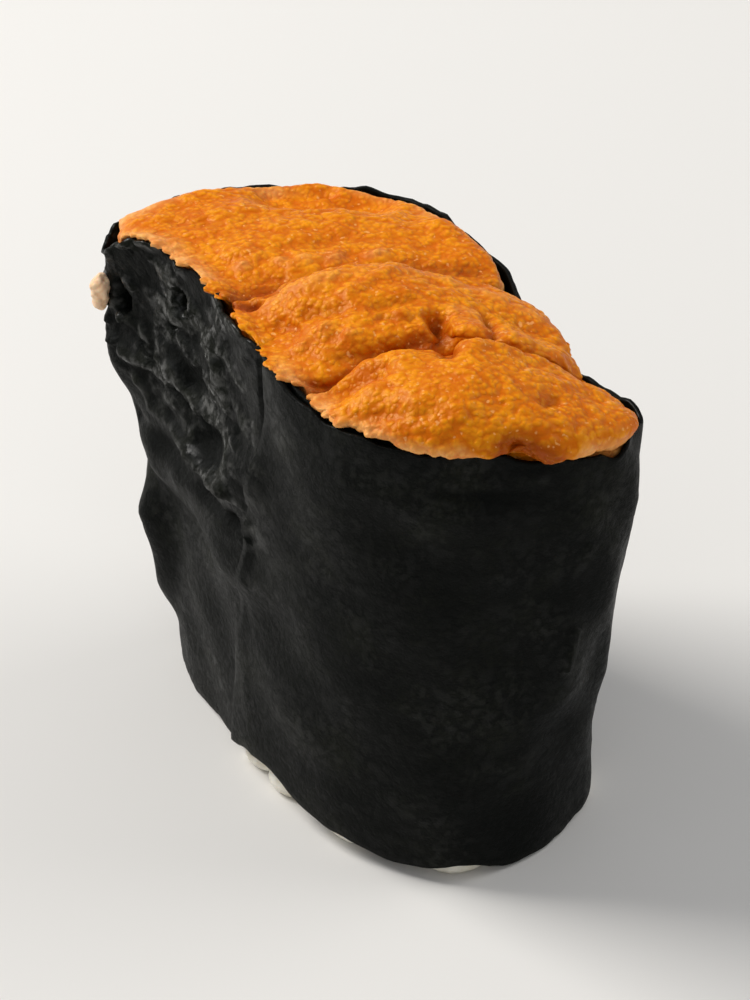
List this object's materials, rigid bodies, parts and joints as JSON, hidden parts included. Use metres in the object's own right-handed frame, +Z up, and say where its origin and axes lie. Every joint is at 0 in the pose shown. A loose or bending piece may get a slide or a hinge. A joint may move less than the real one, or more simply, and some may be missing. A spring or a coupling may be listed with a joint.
{
  "type": "sea urchin gunkan sushi",
  "caption": "Upright oval block of sushi rice wrapped in a crinkled strip of nori that stands up past it, with tongues of orange sea urchin lying across the top.",
  "frame": {"origin": "on the resting surface, under the middle of the whole piece", "axes": "+Z up; +X along the longer side of the oval, towards the end with the front tongue; the strip's outer end is on the -Y side"},
  "size_m": [0.0452, 0.0256, 0.041],
  "materials": {
    "nori": "dark green-black crinkled seaweed sheet, faintly glossy",
    "rice": "moist white cooked rice",
    "sea_urchin": "moist granular orange-yellow roe",
    "sea_urchin_scrap": "pale moist roe"
  },
  "bodies": {
    "root": {"nori": "nori", "rice": "rice", "uni_front": "sea_urchin", "uni_fold": "sea_urchin", "uni_middle": "sea_urchin", "uni_back": "sea_urchin", "uni_scrap": "sea_urchin_scrap"}
  },
  "joints": []
}
